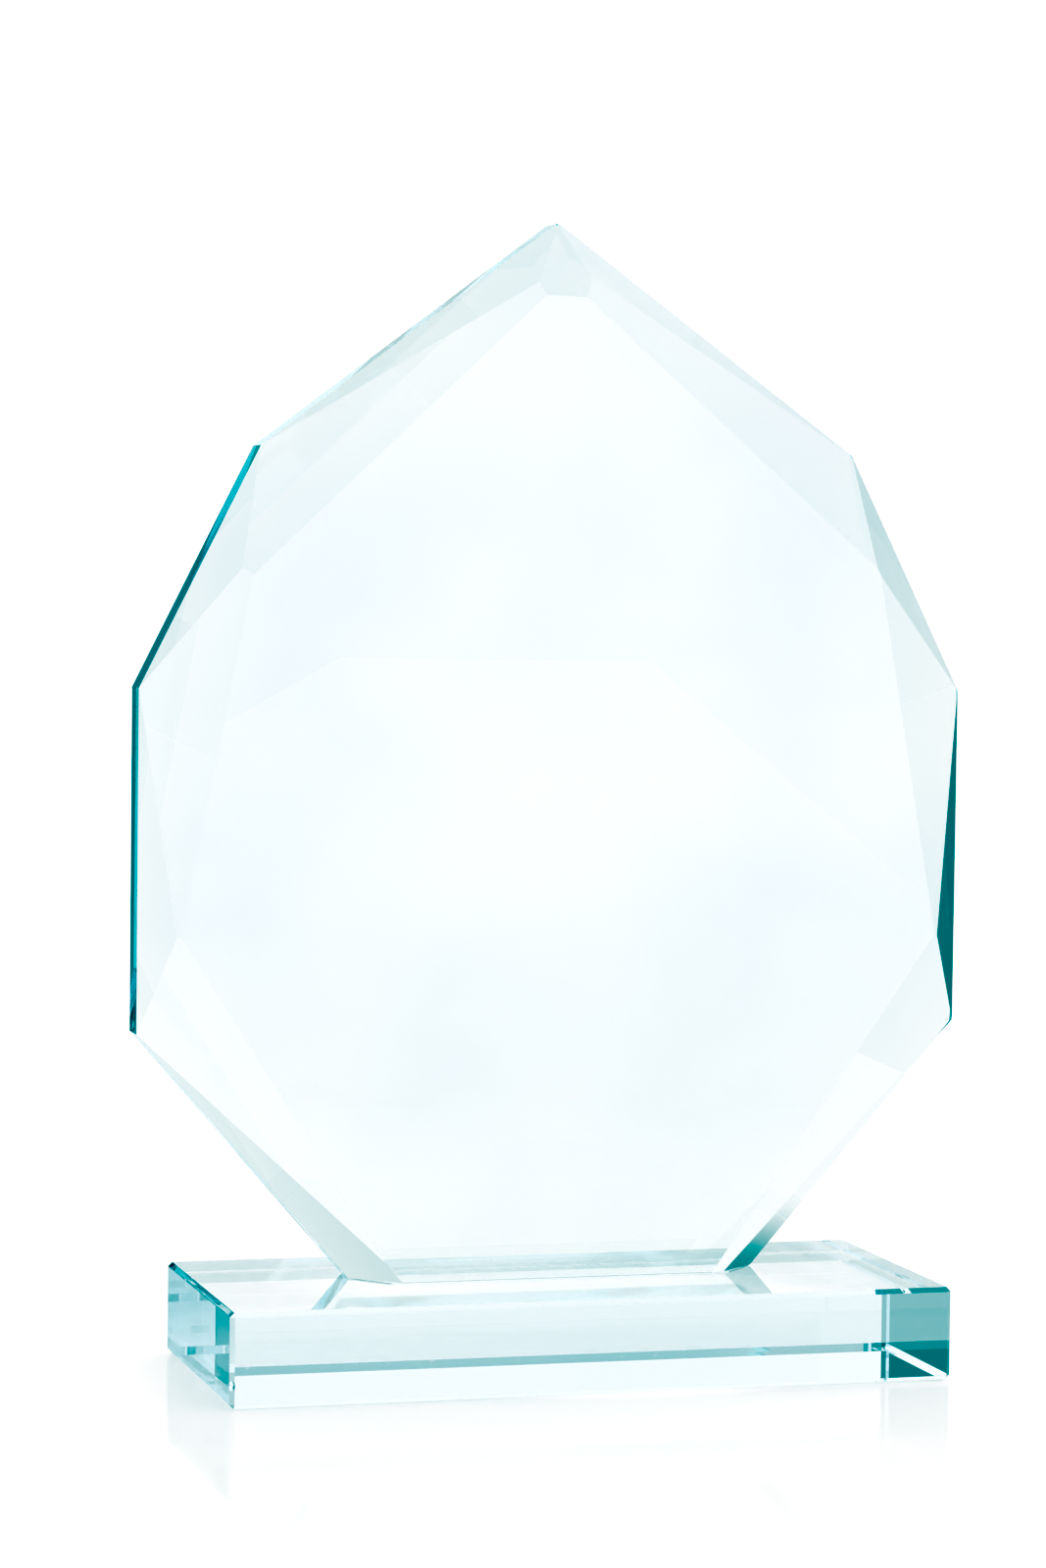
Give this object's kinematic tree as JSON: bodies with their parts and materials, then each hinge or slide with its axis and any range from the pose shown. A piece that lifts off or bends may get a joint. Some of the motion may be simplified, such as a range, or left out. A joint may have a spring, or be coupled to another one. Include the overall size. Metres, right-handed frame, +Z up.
{
  "type": "glass award",
  "caption": "Presentation award: upright faceted plate of thick pale green glass, glued on a rectangular glass block.",
  "frame": {"origin": "on the surface it stands on, under the middle of the base block", "axes": "+Z up; the faceted front of the plate faces -Y; +X is to the right seen from the front"},
  "size_m": [0.175, 0.064, 0.2347],
  "materials": {
    "plate_glass": "polished clear float glass with a pale blue-green body tint, deep teal through its edges",
    "base_glass": "polished clear float glass with a pale blue-green body tint, teal through its ends and bevels",
    "clear_adhesive": "clear cured resin film with a few fine bubbles"
  },
  "bodies": {
    "root": {"base_block": "base_glass", "bond_film": "clear_adhesive", "plate": "plate_glass"}
  },
  "joints": []
}
